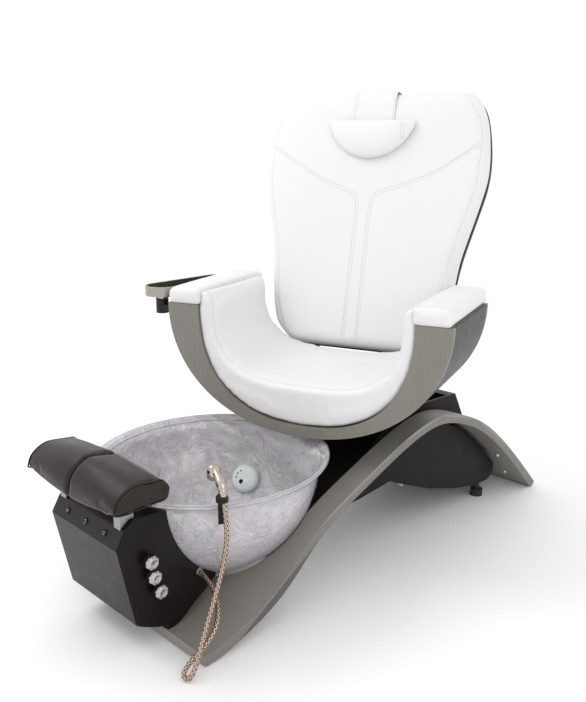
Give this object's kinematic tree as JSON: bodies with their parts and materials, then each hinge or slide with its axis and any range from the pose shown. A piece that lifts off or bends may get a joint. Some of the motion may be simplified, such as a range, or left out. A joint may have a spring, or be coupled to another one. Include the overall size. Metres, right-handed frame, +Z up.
{
  "type": "pedicure spa chair",
  "caption": "Pedicure spa chair: arched board base with a glass foot bowl, tap console and footrest, and a sliding, swivelling, reclining bucket seat with a side tray.",
  "frame": {"origin": "middle of the underside of the front floor strip, on the floor", "axes": "+Z up, +Y from the footrest towards the back of the seat, +X to the sitter's left, the side with the taps and the sprayer"},
  "size_m": [0.9651, 1.7216, 1.3863],
  "materials": {
    "board_laminate": "satin",
    "floor_rubber": "matte",
    "screw_steel": "satin",
    "bowl_glass": "gloss",
    "drain_chrome": "gloss",
    "pump_plastic": "matte",
    "jet_plastic": "gloss",
    "console_black": "gloss",
    "panel_grey": "matte",
    "button_grey": "matte",
    "circuit_green": "matte",
    "valve_brass": "satin",
    "tap_chrome": "gloss",
    "hose_braid": "satin",
    "clip_black": "matte",
    "post_grey": "satin",
    "steel_black": "satin",
    "plywood": "matte",
    "footrest_leather": "satin",
    "housing_black": "satin",
    "bright_steel": "satin",
    "seat_laminate": "satin",
    "shell_grey": "satin",
    "pan_grey": "matte",
    "white_leather": "satin",
    "tray_silver": "satin",
    "tray_dark": "gloss",
    "bracket_dark": "gloss"
  },
  "bodies": {
    "base": {"ribbon_base": "board_laminate", "foot_strips": "floor_rubber", "leg_screws": "screw_steel", "bowl": "bowl_glass", "bowl_gasket": "floor_rubber", "drain_fitting": "drain_chrome", "drain_pump": "pump_plastic", "drain_outlet": "pump_plastic", "jet_body": "jet_plastic", "jet_cap": "jet_plastic", "jet_motor": "pump_plastic", "console_shell": "console_black", "control_panel": "panel_grey", "control_board": "circuit_green", "mixing_valve": "valve_brass", "hose_outlet": "tap_chrome", "hose": "hose_braid", "spray_handle": "tap_chrome", "spray_holder": "clip_black", "footrest_sleeve": "steel_black", "housing_tub": "housing_black", "housing_cover": "housing_black", "housing_feet": "floor_rubber", "power_supply": "pump_plastic", "water_inlets": "valve_brass", "slide_rails": "bright_steel"},
    "impeller": {"jet_impeller": "jet_plastic"},
    "tap_hot": {"knob_hot": "tap_chrome"},
    "tap_cold": {"knob_cold": "tap_chrome"},
    "tap_diverter": {"knob_diverter": "tap_chrome"},
    "jet_button": {"button_jet": "button_grey"},
    "light_button": {"button_light": "button_grey"},
    "drain_button": {"button_drain": "button_grey"},
    "footrest_lifter": {"footrest_post": "post_grey"},
    "footrest": {"footrest_knuckles": "steel_black", "footrest_board": "plywood", "foot_pad_left": "footrest_leather", "foot_pad_right": "footrest_leather"},
    "carriage": {"carriage_plate": "steel_black", "swivel_pivot": "bright_steel"},
    "seat": {"seat_base_plate": "steel_black", "seat_front_panel": "seat_laminate", "seat_rear_panel": "seat_laminate", "seat_outer_skin": "shell_grey", "seat_inner_pan": "pan_grey", "seat_cushion": "white_leather", "arm_pad_left": "white_leather", "arm_pad_right": "white_leather", "recline_brackets": "steel_black", "recline_gearbox": "steel_black", "tray_bracket": "bracket_dark"},
    "backrest": {"backrest_cushion": "white_leather", "backrest_shell": "shell_grey", "backrest_arms": "steel_black", "recline_shaft": "bright_steel", "head_pillow": "white_leather", "pillow_strap": "white_leather"},
    "tray": {"tray_rim": "tray_silver", "tray_dish": "tray_dark", "tray_pivot": "bright_steel"}
  },
  "joints": [
    {"name": "jet_spin", "type": "hinge", "parent": "base", "child": "impeller", "pos_m": [-0.107, 0.454, 0.217], "axis": [0.3739, -0.7619, 0.5289], "continuous": true},
    {"name": "tap_hot_turn", "type": "hinge", "parent": "base", "child": "tap_hot", "pos_m": [0.158, -0.087, 0.252], "axis": [1, 0, 0], "range_deg": [0, 180]},
    {"name": "tap_cold_turn", "type": "hinge", "parent": "base", "child": "tap_cold", "pos_m": [0.158, -0.08, 0.21], "axis": [1, 0, 0], "range_deg": [0, 180]},
    {"name": "tap_diverter_turn", "type": "hinge", "parent": "base", "child": "tap_diverter", "pos_m": [0.158, -0.064, 0.166], "axis": [1, 0, 0], "range_deg": [0, 90]},
    {"name": "jet_button_press", "type": "slide", "parent": "base", "child": "jet_button", "axis": [0, 0.8608, -0.5089], "range_m": [0, 0.0025], "stiffness_N_per_m": 400, "springref_m": -0.002},
    {"name": "light_button_press", "type": "slide", "parent": "base", "child": "light_button", "axis": [0, 0.8608, -0.5089], "range_m": [0, 0.0025], "stiffness_N_per_m": 400, "springref_m": -0.002},
    {"name": "drain_button_press", "type": "slide", "parent": "base", "child": "drain_button", "axis": [0, 0.8608, -0.5089], "range_m": [0, 0.0025], "stiffness_N_per_m": 400, "springref_m": -0.002},
    {"name": "footrest_lift", "type": "slide", "parent": "base", "child": "footrest_lifter", "axis": [0, 0, 1], "range_m": [0, 0.06]},
    {"name": "footrest_tilt", "type": "hinge", "parent": "footrest_lifter", "child": "footrest", "pos_m": [0, -0.126, 0.378], "axis": [1, 0, 0], "range_deg": [0, 30]},
    {"name": "seat_slide", "type": "slide", "parent": "base", "child": "carriage", "axis": [0, 1, 0], "range_m": [-0.015, 0.06]},
    {"name": "seat_swivel", "type": "hinge", "parent": "carriage", "child": "seat", "pos_m": [0, 0.77, 0.39], "axis": [0, 0, 1], "range_deg": [-60, 20]},
    {"name": "back_recline", "type": "hinge", "parent": "seat", "child": "backrest", "pos_m": [-0.0342, 0.86397, 0.53], "axis": [-0.9397, -0.342, 0], "range_deg": [0, 30]},
    {"name": "tray_swing", "type": "hinge", "parent": "seat", "child": "tray", "pos_m": [-0.34982, 0.33939, 0.745], "axis": [0, 0, 1], "range_deg": [0, 90]}
  ]
}
